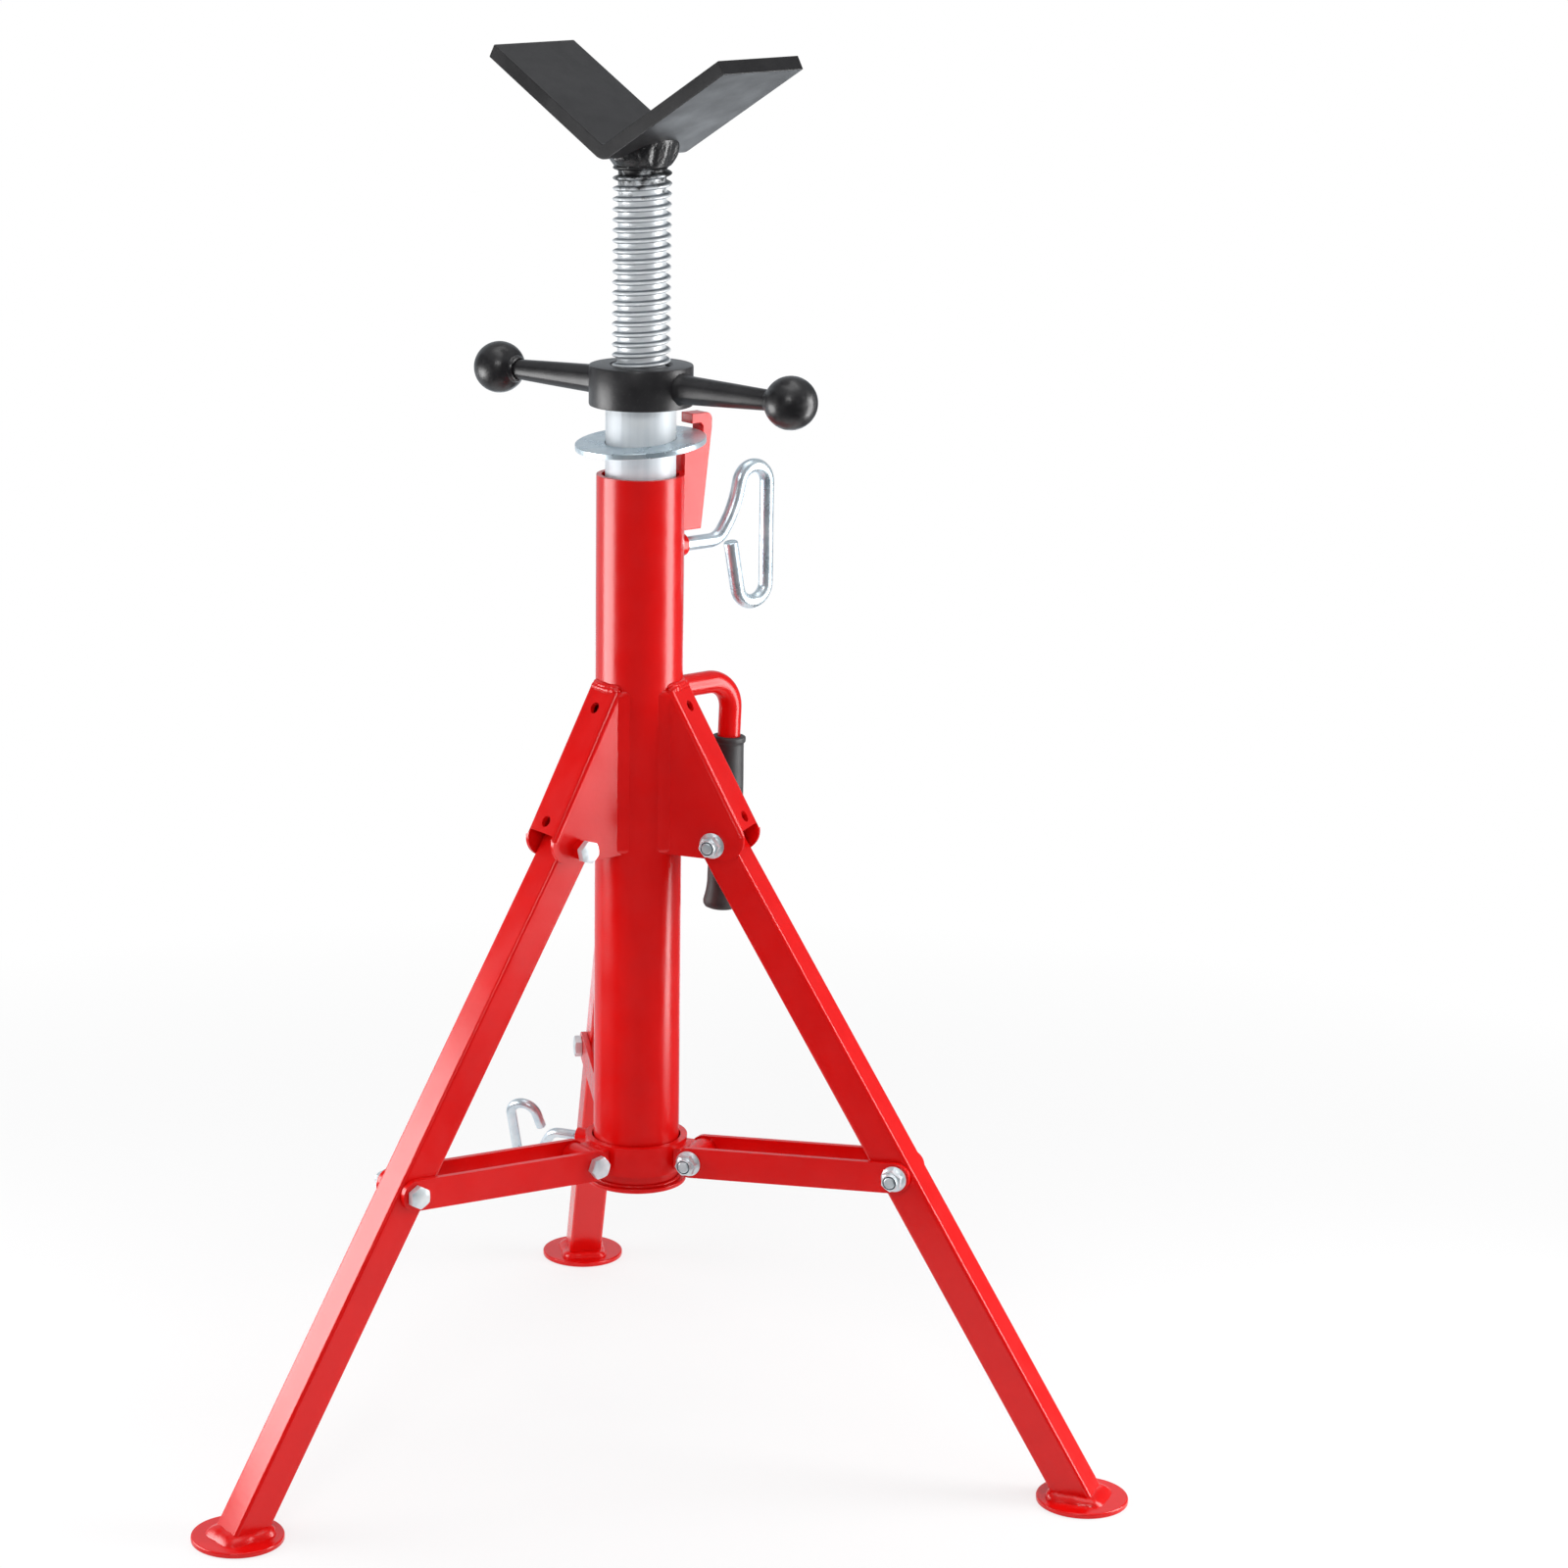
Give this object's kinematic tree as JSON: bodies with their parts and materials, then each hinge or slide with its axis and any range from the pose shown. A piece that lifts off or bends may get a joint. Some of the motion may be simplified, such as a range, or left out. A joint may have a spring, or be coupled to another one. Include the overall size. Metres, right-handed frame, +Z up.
{
  "type": "pipe jack stand",
  "caption": "Folding tripod pipe stand with a V head on a jack screw, a telescoping mast with a brake ring and locking pins.",
  "frame": {"origin": "on the floor, under the centre of the column", "axes": "+Z up along the column; the legs stand at 210, 330 and 90 degrees from +X"},
  "size_m": [0.6402, 0.5629, 0.9749],
  "materials": {
    "red_paint": "glossy red powder coat",
    "black_paint": "satin black paint",
    "black_casting": "satin black paint on a casting",
    "black_knob": "satin",
    "zinc_plate": "bright zinc plate",
    "zinc_tube": "bright zinc plate, turned",
    "grip_rubber": "matte black moulded rubber"
  },
  "bodies": {
    "column": {"column_tube": "red_paint", "stop_ring": "red_paint", "height_pin_boss": "red_paint", "ring_hook": "red_paint", "carry_handle": "red_paint", "handle_grip": "grip_rubber", "bracket_1": "red_paint", "bracket_2": "red_paint", "bracket_3": "red_paint", "bracket_weld_nuts": "red_paint", "pivot_bolts": "zinc_plate", "pivot_nuts": "zinc_plate"},
    "leg_1": {"leg_tube_1": "red_paint", "foot_1": "red_paint", "leg_bush_1": "zinc_plate"},
    "leg_2": {"leg_tube_2": "red_paint", "foot_2": "red_paint", "leg_bush_2": "zinc_plate"},
    "leg_3": {"leg_tube_3": "red_paint", "foot_3": "red_paint", "leg_bush_3": "zinc_plate"},
    "collar": {"collar_ring": "red_paint", "collar_boss": "red_paint", "collar_bolts": "zinc_plate", "collar_nuts": "zinc_plate"},
    "link_1": {"link_plates_1": "red_paint", "link_hardware_1": "zinc_plate"},
    "link_2": {"link_plates_2": "red_paint", "link_hardware_2": "zinc_plate"},
    "link_3": {"link_plates_3": "red_paint", "link_hardware_3": "zinc_plate"},
    "collar_lock": {"collar_pin": "zinc_plate"},
    "mast": {"inner_tube": "zinc_tube"},
    "nut": {"jack_nut": "black_casting", "knobs": "black_knob"},
    "head": {"jack_screw": "zinc_tube", "v_plate": "black_paint", "v_weld": "black_paint"},
    "ring": {"brake_ring": "zinc_plate"},
    "height_lock": {"height_pin": "zinc_plate"}
  },
  "joints": [
    {"name": "collar_slide", "type": "slide", "parent": "column", "child": "collar", "axis": [0, 0, 1], "range_m": [0, 0.12014]},
    {"name": "leg_fold_1", "type": "hinge", "parent": "column", "child": "leg_1", "pos_m": [-0.05326, -0.03075, 0.4383], "axis": [0.5, -0.866, 0], "range_deg": [0, 26.8]},
    {"name": "link_swing_1", "type": "hinge", "parent": "collar", "child": "link_1", "pos_m": [-0.04044, -0.02335, 0.207], "axis": [0.5, -0.866, 0], "range_deg": [0, 79.87]},
    {"name": "leg_fold_2", "type": "hinge", "parent": "column", "child": "leg_2", "pos_m": [0.05326, -0.03075, 0.4383], "axis": [0.5, 0.866, 0], "range_deg": [0, 26.8]},
    {"name": "link_swing_2", "type": "hinge", "parent": "collar", "child": "link_2", "pos_m": [0.04044, -0.02335, 0.207], "axis": [0.5, 0.866, 0], "range_deg": [0, 79.87]},
    {"name": "leg_fold_3", "type": "hinge", "parent": "column", "child": "leg_3", "pos_m": [0, 0.0615, 0.4383], "axis": [-1, 0, 0], "range_deg": [0, 26.8]},
    {"name": "link_swing_3", "type": "hinge", "parent": "collar", "child": "link_3", "pos_m": [0, 0.0467, 0.207], "axis": [-1, 0, 0], "range_deg": [0, 79.87]},
    {"name": "collar_pin_slide", "type": "slide", "parent": "collar", "child": "collar_lock", "axis": [-0.866, 0.5, 0], "range_m": [-0.0054, 0.02]},
    {"name": "mast_slide", "type": "slide", "parent": "column", "child": "mast", "axis": [0, 0, 1], "range_m": [0, 0.4]},
    {"name": "nut_turn", "type": "hinge", "parent": "mast", "child": "nut", "pos_m": [0, 0, 0.73678], "axis": [0, 0, -1], "range_deg": [-6480, 2160]},
    {"name": "screw_lift", "type": "slide", "parent": "mast", "child": "head", "axis": [0, 0, 1], "range_m": [-0.12601, 0.04201]},
    {"name": "ring_tilt", "type": "hinge", "parent": "column", "child": "ring", "pos_m": [0.0388, 0.0224, 0.71307], "axis": [-0.5, 0.866, 0], "range_deg": [0, 5.2]},
    {"name": "height_pin_slide", "type": "slide", "parent": "column", "child": "height_lock", "axis": [0.866, 0.5, 0], "range_m": [-0.0046, 0.025]}
  ],
  "couplings": [
    {"joint": "leg_fold_1", "follows": "collar_slide", "rad_per_m": 3.8933},
    {"joint": "link_swing_1", "follows": "collar_slide", "rad_per_m": 11.602},
    {"joint": "leg_fold_2", "follows": "collar_slide", "rad_per_m": 3.8933},
    {"joint": "link_swing_2", "follows": "collar_slide", "rad_per_m": 11.602},
    {"joint": "leg_fold_3", "follows": "collar_slide", "rad_per_m": 3.8933},
    {"joint": "link_swing_3", "follows": "collar_slide", "rad_per_m": 11.602},
    {"joint": "screw_lift", "follows": "nut_turn", "m_per_rad": 0.0011141}
  ]
}
